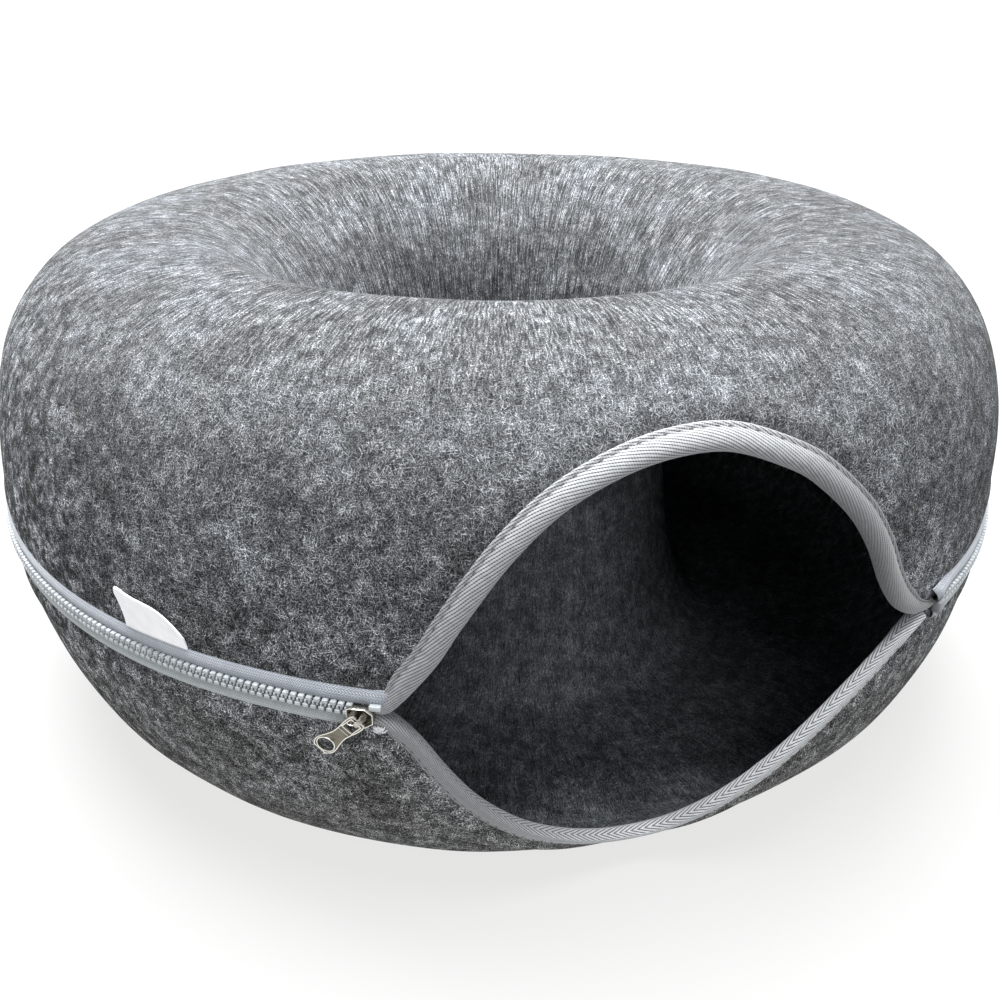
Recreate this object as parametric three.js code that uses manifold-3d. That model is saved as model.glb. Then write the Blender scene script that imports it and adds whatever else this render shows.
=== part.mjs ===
// Tunnel bed for a cat: a ring of thick grey felt in two halves that zip together round
// the outer wall, with one cloth-bound mouth at the front.
// Millimetres, +Z up, standing on z = 0, the mouth faces -Y.

import * as THREE from "three";
import { LoftGeometry } from "three/addons/geometries/LoftGeometry.js";
import { RoundedBoxGeometry } from "three/addons/geometries/RoundedBoxGeometry.js";
import { mergeVertices } from "three/addons/utils/BufferGeometryUtils.js";
import manifoldModule from "manifold-3d";

const wasm = await manifoldModule();
wasm.setup();

// Felt ring
const OUTER_RADIUS = 254;
const HEIGHT = 230;
const FELT = 4;
const WIDEST_HEIGHT = 106;
const CREST_RADIUS = 162;
const HOLE_RADIUS = 88;
const WAIST_HEIGHT = 120;
const BASE_OUTER_RADIUS = 197;
const BASE_INNER_RADIUS = 124;
const AXIS_Y = -6.9;

// How square each quarter of the section is: 2 is an ellipse, more is squarer
const SHOULDER_POWER = 2.8;
const FUNNEL_POWER = 1.9;
const BELLY_POWER = 1.9;
const CORE_POWER = 2.05;

// Clearance between neighbouring pieces
const GAP = 0.3;

// Zip round the outer wall
const SEAM_HEIGHT = 106.5;
const SEAM_WIDTH = 4;
const CHAIN_WIDTH = 6;
const CHAIN_THICKNESS = 2.4;
const TAPE_TOP = 116.8;
const TAPE_BOTTOM = 98.4;
const TAPE_THICKNESS = 1;
const TAPE_TURNS = { start: 29.6, end: 333.9 };
const CHAIN_TURNS = { start: 31.2, end: 331.2 };

// Slider, its pull and the box at the zip's other end
const SLIDER_TURN = -26.9;
const SLIDER_BASE = { bottom: 1.7, top: 2.9 };
const RIM = { width: 1, top: 4.1 };
const CROWN = { length: 7.2, width: 2, top: 7.7, thickness: 1.1 };
const PULL_THICKNESS = 1.2;
const PULL_AIM = -131;
const PULL_DROP = 9;
const BOX_TURN = 30.2;
const BOX_SIZE = { length: 6, width: 5.4, thickness: 3.6 };

// Bias cloth folded over the felt's edge all round the mouth
const BINDING_LEG = 7;
const BINDING_CLOTH = 1;
const BINDING_INSIDE_GAP = 0.8;
const BINDING_EDGE_GAP = 0.6;

// Side tab sewn in above the zip
const TAB_THICKNESS = 1;
const TAB_ROWS = 4;

// Felt edge over the mouth from its left corner to its right: degrees from the front, height
const ARCH_EDGE = [
  { turn: -24.2, height: 108.5 },
  { turn: -20.9, height: 129 },
  { turn: -18.6, height: 146 },
  { turn: -15.0, height: 168.3 },
  { turn: -10.9, height: 184.7 },
  { turn: -5.9, height: 195 },
  { turn: -0.5, height: 199.8 },
  { turn: 5.0, height: 198.8 },
  { turn: 10.7, height: 188.8 },
  { turn: 13.8, height: 178.6 },
  { turn: 16.8, height: 164.8 },
  { turn: 19.1, height: 149.6 },
  { turn: 21.1, height: 132.8 },
  { turn: 23.4, height: 119.5 },
  { turn: 25.6, height: 112.2 },
  { turn: 28.2, height: 108.5 },
];

// Felt edge below the mouth, in the same columns
const LIP_EDGE = [
  { turn: -24.2, height: 104.5 },
  { turn: -22.1, height: 93.2 },
  { turn: -20, height: 77.4 },
  { turn: -17.7, height: 61.6 },
  { turn: -14.9, height: 47.6 },
  { turn: -12.1, height: 37.2 },
  { turn: -8.4, height: 27.6 },
  { turn: -4.8, height: 20.8 },
  { turn: -1.2, height: 17.8 },
  { turn: 2, height: 20 },
  { turn: 5.1, height: 29.2 },
  { turn: 8.4, height: 42 },
  { turn: 11.6, height: 56.2 },
  { turn: 14.7, height: 69.6 },
  { turn: 17.7, height: 81.2 },
  { turn: 20.8, height: 90.6 },
  { turn: 24.4, height: 99.4 },
  { turn: 28.2, height: 104.5 },
];

// Side tab, left to right: degrees from the front, height above the tape, stand-off at its top
const TAB_SECTIONS = [
  { turn: -49.6, rise: 14.5, curl: 3.5 },
  { turn: -49, rise: 18.5, curl: 4.5 },
  { turn: -47, rise: 16.4, curl: 4 },
  { turn: -45, rise: 13.3, curl: 3 },
  { turn: -43.3, rise: 9, curl: 2 },
  { turn: -42.4, rise: 4, curl: 0.8 },
];

// Pull, from the bar under the crown to its round end: distance along it, half width
const PULL_OUTLINE = [
  { along: -0.8, half: 2.4 },
  { along: 0.6, half: 3.1 },
  { along: 4, half: 3.2 },
  { along: 8, half: 2.7 },
  { along: 11.5, half: 2.5 },
  { along: 15, half: 3.2 },
  { along: 18, half: 4.1 },
  { along: 21, half: 4.1 },
  { along: 23.2, half: 2.8 },
];
const PULL_WINDOW = { start: 1, end: 5.6, half: 1.9 };
const PULL_EYE = { along: 19.4, radius: 2.9 };

// Slider outline, left to right along the zip: place along it, half width
const SLIDER_OUTLINE = [
  { along: -5.5, half: 3.9 },
  { along: -4, half: 4.4 },
  { along: 2.2, half: 4.6 },
  { along: 5.5, half: 2.2 },
];

// Fineness
const MOUTH_STEPS = 30;
const BACK_STEPS = 48;
const WALL_ROWS = 8;
const INNER_ROWS = 7;

const MATERIALS = {
  felt: new THREE.MeshStandardMaterial({ color: 0x67696c, roughness: 0.95, metalness: 0 }),
  binding: new THREE.MeshStandardMaterial({ color: 0xa4a6a8, roughness: 0.7, metalness: 0 }),
  tape: new THREE.MeshStandardMaterial({ color: 0x99a1ad, roughness: 0.8, metalness: 0 }),
  teeth: new THREE.MeshStandardMaterial({ color: 0x9fa8ae, roughness: 0.45, metalness: 0 }),
  metal: new THREE.MeshStandardMaterial({ color: 0xb4afa4, roughness: 0.28, metalness: 1 }),
  tab: new THREE.MeshStandardMaterial({ color: 0xf1f2f3, roughness: 0.6, metalness: 0 }),
};

const ARC = (OUTER_RADIUS * Math.PI) / 180;
const UPPER_SEAM = SEAM_HEIGHT + SEAM_WIDTH / 2;
const LOWER_SEAM = SEAM_HEIGHT - SEAM_WIDTH / 2;

// One quarter of the section as a curve of radius against height
function quarter(centre, reach, power, startDegrees, endDegrees) {
  const bend = (value) => Math.sign(value) * Math.abs(value) ** (2 / power);
  const points = Array.from({ length: 25 }, (_, i) => {
    const angle = THREE.MathUtils.degToRad(THREE.MathUtils.lerp(startDegrees, endDegrees, i / 24));
    return new THREE.Vector2(
      centre[0] + reach[0] * bend(Math.cos(angle)),
      centre[1] + reach[1] * bend(Math.sin(angle)),
    );
  });
  return new THREE.SplineCurve(points);
}

// Each half of the ring: its outer wall from the widest height, its wall round the hole,
// and the side of the curves on which the outside lies
const upperWaist = WAIST_HEIGHT + GAP / 2;
const lowerWaist = WAIST_HEIGHT - GAP / 2;
const shoulderReach = [OUTER_RADIUS - CREST_RADIUS, HEIGHT - WIDEST_HEIGHT];
const funnelReach = [CREST_RADIUS - HOLE_RADIUS, HEIGHT - upperWaist];
const bellyReach = [OUTER_RADIUS - BASE_OUTER_RADIUS, WIDEST_HEIGHT];
const coreReach = [BASE_INNER_RADIUS - HOLE_RADIUS, lowerWaist];
const UPPER = {
  wall: quarter([CREST_RADIUS, WIDEST_HEIGHT], shoulderReach, SHOULDER_POWER, 0, 90),
  inner: quarter([CREST_RADIUS, upperWaist], funnelReach, FUNNEL_POWER, 90, 180),
  side: 1,
};
const LOWER = {
  wall: quarter([BASE_OUTER_RADIUS, WIDEST_HEIGHT], bellyReach, BELLY_POWER, 0, -90),
  inner: quarter([BASE_INNER_RADIUS, lowerWaist], coreReach, CORE_POWER, -90, -180),
  side: -1,
};

// A section point or direction turned to its place round the ring
function place(turn, flat) {
  const angle = THREE.MathUtils.degToRad(turn);
  return new THREE.Vector3(flat.x * Math.sin(angle), -flat.x * Math.cos(angle), flat.y);
}

function rowAt(half, curve, u) {
  const tangent = curve.getTangentAt(u);
  const normal = new THREE.Vector2(tangent.y, -tangent.x).multiplyScalar(half.side);
  return { point: curve.getPointAt(u), normal };
}

// Share of the outer wall's curve passed when it reaches a height
function shareAtHeight(wall, height) {
  let low = 0;
  let high = 1;
  const climb = Math.abs(height - WIDEST_HEIGHT);
  for (let i = 0; i < 30; i += 1) {
    const middle = (low + high) / 2;
    if (Math.abs(wall.getPointAt(middle).y - WIDEST_HEIGHT) < climb) {
      low = middle;
    } else {
      high = middle;
    }
  }
  return low;
}

// Point on the outer wall, and the direction straight out of it
function onWall(turn, height) {
  const half = height > WIDEST_HEIGHT ? UPPER : LOWER;
  const row = rowAt(half, half.wall, shareAtHeight(half.wall, height));
  return { point: place(turn, row.point), normal: place(turn, row.normal) };
}

function raised(turn, height, out) {
  const { point, normal } = onWall(turn, height);
  return point.addScaledVector(normal, out);
}

// Even steps along an edge of the mouth
function edgeStations(edge) {
  const curve = new THREE.SplineCurve(
    edge.map(({ turn, height }) => new THREE.Vector2(turn * ARC, height)),
  );
  return curve.getSpacedPoints(MOUTH_STEPS).map((p) => ({ turn: p.x / ARC, height: p.y }));
}

// Turns round the back, from the mouth's right corner to its left
const RIGHT_CORNER = ARCH_EDGE.at(-1).turn;
const LEFT_CORNER = ARCH_EDGE[0].turn + 360;
const backTurns = Array.from({ length: BACK_STEPS + 1 }, (_, i) =>
  THREE.MathUtils.lerp(RIGHT_CORNER, LEFT_CORNER, i / BACK_STEPS),
);

function signedVolume(geometry) {
  const flat = geometry.toNonIndexed().getAttribute("position");
  const [a, b, c] = [new THREE.Vector3(), new THREE.Vector3(), new THREE.Vector3()];
  let total = 0;
  for (let i = 0; i < flat.count; i += 3) {
    a.fromBufferAttribute(flat, i);
    b.fromBufferAttribute(flat, i + 1);
    c.fromBufferAttribute(flat, i + 2);
    total += a.dot(b.cross(c)) / 6;
  }
  return total;
}

// Skin through closed sections, turned so that its faces point out
function loft(sections, capped) {
  const caps = { capStart: capped, capEnd: capped };
  const geometry = new LoftGeometry(sections, caps);
  if (signedVolume(geometry) > 0) {
    return geometry;
  }
  return new LoftGeometry(sections.map((section) => section.slice().reverse()), caps);
}

// Half of the felt ring, from its edge at the zip and the mouth to the seam in the hole
function shell(half, edge, seamHeight) {
  const mouth = edgeStations(edge);
  const back = backTurns.slice(1, -1).map((turn) => ({ turn, height: seamHeight }));
  const sections = [...mouth, ...back, mouth[0]].map(({ turn, height }) => {
    const start = shareAtHeight(half.wall, height);
    const wall = Array.from({ length: WALL_ROWS + 1 }, (_, i) =>
      rowAt(half, half.wall, THREE.MathUtils.lerp(start, 1, i / WALL_ROWS)),
    );
    const inner = Array.from({ length: INNER_ROWS + 1 }, (_, i) =>
      rowAt(half, half.inner, i / INNER_ROWS),
    );
    const rows = half === UPPER ? [...wall, ...inner.slice(1)] : [...wall, ...inner];
    const outside = rows.map(({ point }) => place(turn, point));
    const inside = rows.map(({ point, normal }) =>
      place(turn, point.clone().addScaledVector(normal, -FELT)),
    );
    return [...outside, ...inside.reverse()];
  });
  return loft(sections, false);
}

// Folded cloth as a U round the felt's edge: distance from the edge, distance out of the wall
function bindingSection() {
  const top = GAP;
  const bottom = -FELT - BINDING_INSIDE_GAP;
  const rim = (grow) =>
    [90, 135, 180, 225, 270].map((degrees) => {
      const angle = THREE.MathUtils.degToRad(degrees);
      return new THREE.Vector2(
        (BINDING_EDGE_GAP + grow) * Math.cos(angle),
        (top + bottom) / 2 + ((top - bottom) / 2 + grow) * Math.sin(angle),
      );
    });
  const leg = (out) => [
    new THREE.Vector2(BINDING_LEG, out),
    new THREE.Vector2(BINDING_LEG / 2, out),
  ];
  const outside = [
    ...leg(top + BINDING_CLOTH),
    ...rim(BINDING_CLOTH),
    ...leg(bottom - BINDING_CLOTH).reverse(),
  ];
  const inside = [...leg(top), ...rim(0), ...leg(bottom).reverse()];
  return [...outside, ...inside.reverse()];
}

function binding(edge, feltSide) {
  const stations = edgeStations(edge);
  const points = stations.map(({ turn, height }) => onWall(turn, height).point);
  const sections = stations.map(({ turn, height }, i) => {
    const { point, normal } = onWall(turn, height);
    const ahead = points[Math.min(i + 1, MOUTH_STEPS)];
    const behind = points[Math.max(i - 1, 0)];
    const along = ahead.clone().sub(behind).normalize();
    const toFelt = normal.clone().cross(along).multiplyScalar(feltSide);
    return bindingSection().map(({ x, y }) => {
      const foot = point.clone().addScaledVector(toFelt, x);
      const footTurn = THREE.MathUtils.radToDeg(Math.atan2(foot.x, -foot.y));
      return raised(footTurn, foot.z, y);
    });
  });
  return loft(sections, true);
}

// Strip round the back of the wall: its corners are heights and distances out of the wall
function strip({ start, end }, corners) {
  const turns = [start, ...backTurns.filter((turn) => turn > start + 1 && turn < end - 1), end];
  const sections = turns.map((turn) =>
    corners.map(({ height, out }) => raised(turn, height, out)),
  );
  return loft(sections, true);
}

function tape(low, high) {
  const top = GAP + TAPE_THICKNESS;
  return strip(TAPE_TURNS, [
    { height: low, out: GAP },
    { height: high, out: GAP },
    { height: high, out: top },
    { height: low, out: top },
  ]);
}

function chain() {
  const reach = CHAIN_WIDTH / 2;
  const top = GAP + CHAIN_THICKNESS;
  return strip(CHAIN_TURNS, [
    { height: SEAM_HEIGHT - reach, out: GAP },
    { height: SEAM_HEIGHT + reach, out: GAP },
    { height: SEAM_HEIGHT + reach, out: top - 1 },
    { height: SEAM_HEIGHT + reach / 2, out: top },
    { height: SEAM_HEIGHT - reach / 2, out: top },
    { height: SEAM_HEIGHT - reach, out: top - 1 },
  ]);
}

// Tab that leans off the felt as it rises from the tape
function sideTab() {
  const foot = TAPE_TOP + GAP;
  const sections = TAB_SECTIONS.map(({ turn, rise, curl }) => {
    const side = (out) =>
      Array.from({ length: TAB_ROWS + 1 }, (_, i) => {
        const share = i / TAB_ROWS;
        return raised(turn, foot + rise * share, out + curl * share ** 1.6);
      });
    return [...side(GAP), ...side(GAP + TAB_THICKNESS).reverse()];
  });
  return loft(sections, true);
}

// Closed outline from half widths, pointing along +X, counterclockwise
function outline(rows, grow) {
  const below = rows.map(({ along, half }) => new THREE.Vector2(along, -half - grow));
  const above = rows.map(({ along, half }) => new THREE.Vector2(along, half + grow));
  return [...below, ...above.reverse()];
}

function plate(shape, bottom, top) {
  const geometry = new THREE.ExtrudeGeometry(shape, {
    depth: top - bottom,
    bevelEnabled: false,
    curveSegments: 8,
  });
  return geometry.translate(0, 0, bottom);
}

function joined(...geometries) {
  const solids = geometries.map((geometry) => {
    const bare = geometry.clone();
    bare.deleteAttribute("normal");
    bare.deleteAttribute("uv");
    const merged = mergeVertices(bare);
    const count = merged.getAttribute("position").count;
    const index = merged.index ?? Array.from({ length: count }, (_, i) => i);
    return new wasm.Manifold(
      new wasm.Mesh({
        numProp: 3,
        vertProperties: Float32Array.from(merged.getAttribute("position").array),
        triVerts: Uint32Array.from(index.array ?? index),
      }),
    );
  });
  const mesh = solids.reduce((whole, solid) => whole.add(solid)).getMesh();
  const geometry = new THREE.BufferGeometry();
  geometry.setAttribute("position", new THREE.BufferAttribute(mesh.vertProperties, 3));
  geometry.setIndex(new THREE.BufferAttribute(mesh.triVerts, 1));
  geometry.computeVertexNormals();
  return geometry;
}

// Shield-shaped tray on a core between the tapes, with a crown that holds the pull
function slider() {
  const body = new THREE.Shape(outline(SLIDER_OUTLINE, 0));
  const rim = new THREE.Shape(outline(SLIDER_OUTLINE, 0));
  const pocket = SLIDER_OUTLINE.map(({ along, half }) => ({ along: along * 0.8, half }));
  rim.holes.push(new THREE.Path(outline(pocket, -RIM.width)));
  const core = outline([{ along: -5, half: 2.6 }, { along: 5, half: 2.6 }], 0);
  const reach = CROWN.length / 2;
  const arch = new THREE.Shape([
    new THREE.Vector2(-reach, SLIDER_BASE.top - 0.2),
    new THREE.Vector2(reach, SLIDER_BASE.top - 0.2),
    new THREE.Vector2(reach, CROWN.top - 1),
    new THREE.Vector2(reach - 1, CROWN.top),
    new THREE.Vector2(1 - reach, CROWN.top),
    new THREE.Vector2(-reach, CROWN.top - 1),
  ]);
  const inside = reach - CROWN.thickness;
  arch.holes.push(
    new THREE.Path([
      new THREE.Vector2(-inside, SLIDER_BASE.top + 0.1),
      new THREE.Vector2(inside, SLIDER_BASE.top + 0.1),
      new THREE.Vector2(inside, CROWN.top - CROWN.thickness),
      new THREE.Vector2(-inside, CROWN.top - CROWN.thickness),
    ]),
  );
  const crown = plate(arch, -CROWN.width / 2, CROWN.width / 2)
    .rotateX(Math.PI / 2)
    .rotateZ(THREE.MathUtils.degToRad(PULL_AIM));
  return joined(
    plate(body, SLIDER_BASE.bottom, SLIDER_BASE.top),
    plate(rim, SLIDER_BASE.top - 0.1, RIM.top),
    plate(new THREE.Shape(core), GAP + 0.1, SLIDER_BASE.bottom + 0.1),
    crown,
  );
}

// Waisted plate with a window for the crown and an eye at its round end
function pull() {
  const shape = new THREE.Shape(outline(PULL_OUTLINE, 0));
  const { start, end, half } = PULL_WINDOW;
  shape.holes.push(
    new THREE.Path(outline([{ along: start, half }, { along: end, half }], 0)),
    new THREE.Path().absarc(PULL_EYE.along, 0, PULL_EYE.radius, 0, Math.PI * 2),
  );
  const under = CROWN.top - CROWN.thickness - GAP - PULL_THICKNESS;
  return plate(shape, 0, PULL_THICKNESS)
    .rotateY(THREE.MathUtils.degToRad(PULL_DROP))
    .translate(0, 0, under)
    .rotateZ(THREE.MathUtils.degToRad(PULL_AIM));
}

function part(name, geometry, material) {
  const mesh = new THREE.Mesh(geometry, material);
  mesh.name = name;
  return mesh;
}

// Group on the zip's line whose +Z points straight out of the wall and whose +Y points up
function onZip(turn, ...meshes) {
  const { point, normal } = onWall(turn, SEAM_HEIGHT);
  const group = new THREE.Group();
  group.up.set(0, 0, 1);
  group.position.copy(point);
  group.lookAt(point.clone().add(normal));
  group.add(...meshes);
  return group;
}

const retainer = new RoundedBoxGeometry(
  BOX_SIZE.length,
  BOX_SIZE.width,
  BOX_SIZE.thickness,
  2,
  0.8,
).translate(0, 0, GAP + 0.1 + BOX_SIZE.thickness / 2);

const chainReach = CHAIN_WIDTH / 2 + GAP;
const bed = new THREE.Group();
bed.position.y = AXIS_Y;
bed.add(
  part("upper_shell", shell(UPPER, ARCH_EDGE, UPPER_SEAM), MATERIALS.felt),
  part("lower_shell", shell(LOWER, LIP_EDGE, LOWER_SEAM), MATERIALS.felt),
  part("upper_binding", binding(ARCH_EDGE, 1), MATERIALS.binding),
  part("lower_binding", binding(LIP_EDGE, -1), MATERIALS.binding),
  part("zip_tape_upper", tape(SEAM_HEIGHT + chainReach, TAPE_TOP), MATERIALS.tape),
  part("zip_tape_lower", tape(TAPE_BOTTOM, SEAM_HEIGHT - chainReach), MATERIALS.tape),
  part("zip_chain", chain(), MATERIALS.teeth),
  part("side_tab", sideTab(), MATERIALS.tab),
  onZip(
    SLIDER_TURN,
    part("zip_slider", slider(), MATERIALS.metal),
    part("zip_pull", pull(), MATERIALS.metal),
  ),
  onZip(BOX_TURN, part("zip_box", retainer, MATERIALS.teeth)),
);

export default bed;
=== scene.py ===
# %% [markdown]
# # A felt tunnel bed for a cat
#
# The bed is a hollow ring of thick marled felt in two halves, zipped together round its outer
# wall. A lens-shaped mouth at the front is bound in twill tape. This lesson dresses the packed
# solids: it models each soft piece as the cloth it is and gives every surface a finish made of
# nodes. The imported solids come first, because they fix every size, and they are never moved.

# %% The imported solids
import math

import bmesh
import bpy
import numpy as np
from mathutils import Euler, Matrix, Vector, noise


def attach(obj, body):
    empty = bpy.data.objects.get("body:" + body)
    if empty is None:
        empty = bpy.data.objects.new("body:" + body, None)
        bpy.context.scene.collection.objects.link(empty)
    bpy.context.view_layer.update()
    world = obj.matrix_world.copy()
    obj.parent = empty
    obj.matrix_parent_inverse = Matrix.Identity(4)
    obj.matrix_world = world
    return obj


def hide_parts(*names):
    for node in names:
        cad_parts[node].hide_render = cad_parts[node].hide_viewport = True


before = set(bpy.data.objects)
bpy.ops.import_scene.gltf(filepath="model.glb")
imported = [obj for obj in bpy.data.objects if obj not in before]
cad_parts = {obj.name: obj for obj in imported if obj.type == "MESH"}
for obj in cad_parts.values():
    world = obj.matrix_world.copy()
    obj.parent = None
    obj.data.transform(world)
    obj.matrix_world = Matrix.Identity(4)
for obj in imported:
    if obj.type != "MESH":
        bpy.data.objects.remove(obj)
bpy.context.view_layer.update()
print("packed nodes:", ", ".join(sorted(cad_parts)))

# %% [markdown]
# ## The camera
#
# The photograph was taken from a standing height, close to the bed and a little to the left of
# the mouth. A lens that is this near makes the front of the ring look large, so the place and the
# focal length matter more than the direction. Both were found by fitting the ring's outline.

# %% Camera
EYE = Vector((-0.1485, -0.5416, 0.3488))
SIGHT = Vector((0.2399, 0.8566, -0.4568)).normalized()
LENS = 38.5

scene = bpy.context.scene
camera_data = bpy.data.cameras.new("camera")
camera_data.lens = LENS
camera_data.sensor_width = 36.0
camera_data.clip_start = 0.01
camera = bpy.data.objects.new("camera", camera_data)
camera.matrix_world = Matrix.Translation(EYE) @ SIGHT.to_track_quat("-Z", "Y").to_matrix().to_4x4()
scene.collection.objects.link(camera)
scene.camera = camera
print("camera", tuple(round(x, 3) for x in EYE), "lens", LENS)

# %% [markdown]
# ## The section of the ring
#
# Cut through, the felt is a rounded tube: a squarish shoulder outside, a softer funnel that drops
# into the hole, a belly that tucks under, a flat band that it stands on, and a core that climbs
# back up inside the hole. Four quarters of a superellipse join smoothly into that line, and one
# power per quarter says how square it is.

# %% Section
MM = 0.001
OUTER_RADIUS, HOLE_RADIUS = 254 * MM, 88 * MM
HEIGHT, WIDEST, WAIST = 230 * MM, 106 * MM, 120 * MM
CREST_RADIUS, BASE_OUTER, BASE_INNER = 162 * MM, 197 * MM, 124 * MM
AXIS_Y = -6.9 * MM
GAP = 0.3 * MM


def quarter(centre, reach, power, start, end, count=120):
    """Radius and height along one rounded quarter of the section."""
    angle = np.radians(np.linspace(start, end, count))

    def bend(value):
        return np.sign(value) * np.abs(value) ** (2 / power)

    return np.column_stack([
        centre[0] + reach[0] * bend(np.cos(angle)),
        centre[1] + reach[1] * bend(np.sin(angle)),
    ])


funnel_end, core_end = WAIST + GAP / 2, WAIST - GAP / 2
shoulder = quarter(
    (CREST_RADIUS, WIDEST), (OUTER_RADIUS - CREST_RADIUS, HEIGHT - WIDEST), 2.8, 0, 90)
funnel = quarter(
    (CREST_RADIUS, funnel_end), (CREST_RADIUS - HOLE_RADIUS, HEIGHT - funnel_end), 1.9, 90, 180)
belly = quarter((BASE_OUTER, WIDEST), (OUTER_RADIUS - BASE_OUTER, WIDEST), 1.9, 0, -90)
core = quarter((BASE_INNER, core_end), (BASE_INNER - HOLE_RADIUS, core_end), 2.05, -90, -180)
print("section points:", sum(map(len, (shoulder, funnel, belly, core))))

# %% [markdown]
# Everything sewn to the bed lies on the outer wall, so one helper gives a point on that wall from
# a turn round the ring, a height, and a distance out of the felt. Turns are degrees from the
# front, towards the right of someone who faces the mouth.

# %% Points on the outer wall
wall = np.vstack([belly[::-1], shoulder[1:]])
wall_slope = np.gradient(wall, axis=0)
wall_slope /= np.linalg.norm(wall_slope, axis=1)[:, None]


def wall_normal(height):
    """Outward direction of the wall at a height, as radius and height."""
    across = np.interp(height, wall[:, 1], wall_slope[:, 1])
    down = np.interp(height, wall[:, 1], -wall_slope[:, 0])
    return Vector((across, down)).normalized()


def on_ring(turn, radius, height):
    """A point of the section turned to its place round the ring's axis."""
    angle = math.radians(turn)
    return Vector((radius * math.sin(angle), AXIS_Y - radius * math.cos(angle), height))


def raised(turn, height, out):
    """A point a little way out of the outer wall."""
    normal = wall_normal(height)
    radius = np.interp(height, wall[:, 1], wall[:, 0])
    return on_ring(turn, radius + normal.x * out, height + normal.y * out)


print("front of the wall:", tuple(round(x, 4) for x in raised(0, WIDEST, 0)))

# %% [markdown]
# The mouth is cut from both halves: an arch in the upper one and a lip in the lower one. Each is a
# row of turns and heights with a smooth curve through them. A Catmull-Rom curve passes through
# every point that it is given, which suits an outline read from a picture.

# %% Edges of the mouth
SEAM = 106.5 * MM
UPPER_SEAM, LOWER_SEAM = SEAM + 2 * MM, SEAM - 2 * MM
ARCH_POINTS = [
    (-24.2, 108.5), (-20.9, 129), (-18.6, 146), (-15, 168.3), (-10.9, 184.7), (-5.9, 195),
    (-0.5, 199.8), (5, 198.8), (10.7, 188.8), (13.8, 178.6), (16.8, 164.8), (19.1, 149.6),
    (21.1, 132.8), (23.4, 119.5), (25.6, 112.2), (28.2, 108.5),
]
LIP_POINTS = [
    (-24.2, 104.5), (-22.1, 93.2), (-20, 77.4), (-17.7, 61.6), (-14.9, 47.6), (-12.1, 37.2),
    (-8.4, 27.6), (-4.8, 20.8), (-1.2, 17.8), (2, 20), (5.1, 29.2), (8.4, 42), (11.6, 56.2),
    (14.7, 69.6), (17.7, 81.2), (20.8, 90.6), (24.4, 99.4), (28.2, 104.5),
]
ARC = math.radians(1) * OUTER_RADIUS


def through(points, steps=16):
    """Catmull-Rom curve through the points, as many close points."""
    known = np.vstack([points[0], points, points[-1]])
    t = np.linspace(0, 1, steps, endpoint=False)[:, None]
    spans = [
        0.5 * (2 * b + (c - a) * t + (2 * a - 5 * b + 4 * c - d) * t**2
               + (3 * b - a - 3 * c + d) * t**3)
        for a, b, c, d in zip(known, known[1:], known[2:], known[3:])
    ]
    return np.vstack([*spans, points[-1]])


def evenly(points, count):
    """The same line, as points at even distances along it."""
    length = np.r_[0, np.cumsum(np.linalg.norm(np.diff(points, axis=0), axis=1))]
    places = np.linspace(0, length[-1], count)
    return np.column_stack([np.interp(places, length, column) for column in points.T])


def mouth_edge(points):
    """An edge of the mouth in metres: distance round the wall, height."""
    return through(np.array(points) * (ARC, MM))


arch, lip = mouth_edge(ARCH_POINTS), mouth_edge(LIP_POINTS)
print("mouth from", ARCH_POINTS[0][0], "to", ARCH_POINTS[-1][0], "degrees")

# %% [markdown]
# A bmesh becomes an object in the same way for every piece of cloth. An open sheet has no inside,
# so Blender can't tell which way its faces should point: the helper takes the face that settles
# it, and turns the sheet over if that face looks the wrong way.

# %% From bmesh to piece
def finished_mesh(name, bm, outward=None, most=None):
    """A smooth-shaded object from a bmesh, turned so that its clearest face looks outward."""
    bmesh.ops.recalc_face_normals(bm, faces=bm.faces)
    if outward is not None:
        bm.normal_update()
        clearest = max(bm.faces, key=most or (lambda face: abs(face.normal.dot(outward))))
        if clearest.normal.dot(outward) < 0:
            bmesh.ops.reverse_faces(bm, faces=bm.faces)
    mesh = bpy.data.meshes.new(name)
    bm.to_mesh(mesh)
    bm.free()
    mesh.shade_smooth()
    piece = bpy.data.objects.new(name, mesh)
    scene.collection.objects.link(piece)
    return piece


def thicken(piece, thickness, own_back=False):
    """Give a sheet its thickness behind its faces, and its back a finish of its own if asked."""
    solid = piece.modifiers.new("thickness", "SOLIDIFY")
    solid.thickness = thickness
    solid.offset = -1
    solid.use_even_offset = True
    solid.material_offset = 1 if own_back else 0
    return piece


def sheet_area(piece):
    return sum(face.area for face in piece.data.polygons)


# %% [markdown]
# A flat grid is the easiest start for any piece of cloth. One side of it counts columns along the
# cloth and the other counts rows across it, and each vertex is then moved to its place. The UV map
# keeps the flat cloth in metres, so that a weave drawn on it later has its true size.

# %% Cloth from a grid
def grid_cloth(columns, rows, place, flat_place):
    """A sheet of columns and rows: place(i, j) puts a vertex, flat_place(i, j) its UV in metres."""
    bm = bmesh.new()
    bmesh.ops.create_grid(bm, x_segments=columns, y_segments=rows, size=0.5)
    cloth = bm.loops.layers.uv.new("cloth")
    cell = {
        vert: (round((vert.co.x + 0.5) * columns), round((vert.co.y + 0.5) * rows))
        for vert in bm.verts
    }
    for face in bm.faces:
        for loop in face.loops:
            loop[cloth].uv = flat_place(*cell[loop.vert])
    for vert, (i, j) in cell.items():
        vert.co = place(i, j)
    return bm


# %% [markdown]
# ## The two halves of felt
#
# Each half is one sheet of felt, pressed into half of the tube. Its grid goes once round the ring,
# and where the two ends meet they are welded. The columns that cross the mouth start at its edge
# instead of at the zip. Felt is never quite even: broad soft dents come from noise, and it is
# squeezed where it is sewn and bulges a little beside the sewing. Pressing draws the felt out on
# its way into the hole, so the flat map is drawn out there too. Solidify gives the sheet its 4 mm.

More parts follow.
